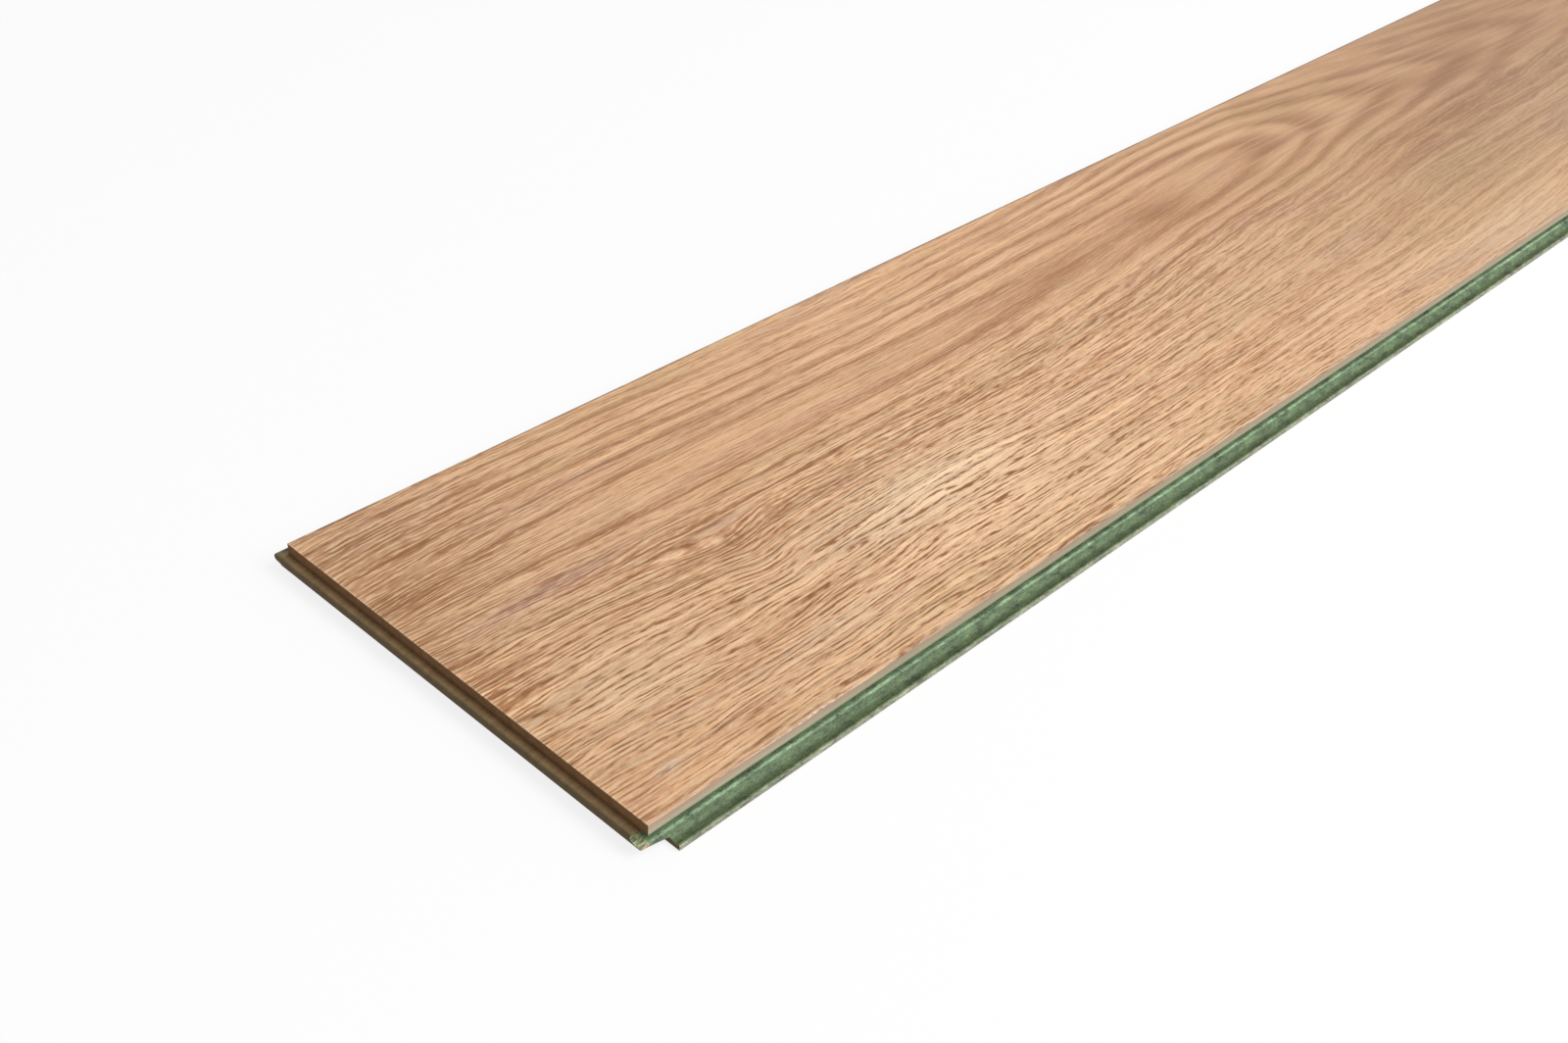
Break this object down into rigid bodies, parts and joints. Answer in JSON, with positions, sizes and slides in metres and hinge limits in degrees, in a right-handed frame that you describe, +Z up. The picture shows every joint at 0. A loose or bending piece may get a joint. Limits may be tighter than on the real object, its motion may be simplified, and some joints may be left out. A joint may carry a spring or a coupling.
{
  "type": "laminate floor plank",
  "caption": "Click-lock laminate floor plank: oak-print decor on a fibreboard core, with tongues and lipped grooves milled along its edges, and a balancing sheet below.",
  "frame": {"origin": "on the underside, below the centre of the laying face (the face between the four joint planes)", "axes": "+X along the plank towards the short end with the groove, +Y across it towards the long edge with the tongue, +Z up out of the decor"},
  "size_m": [1.2961, 0.2018, 0.012],
  "materials": {
    "decor": "oak print under a satin melamine seal",
    "fibreboard": "milled high density fibreboard, green sealing coat on the long joints",
    "balancing_sheet": "resin-soaked kraft paper, matt"
  },
  "bodies": {
    "root": {"decor_layer": "decor", "hdf_core": "fibreboard", "backing_layer": "balancing_sheet"}
  },
  "joints": []
}
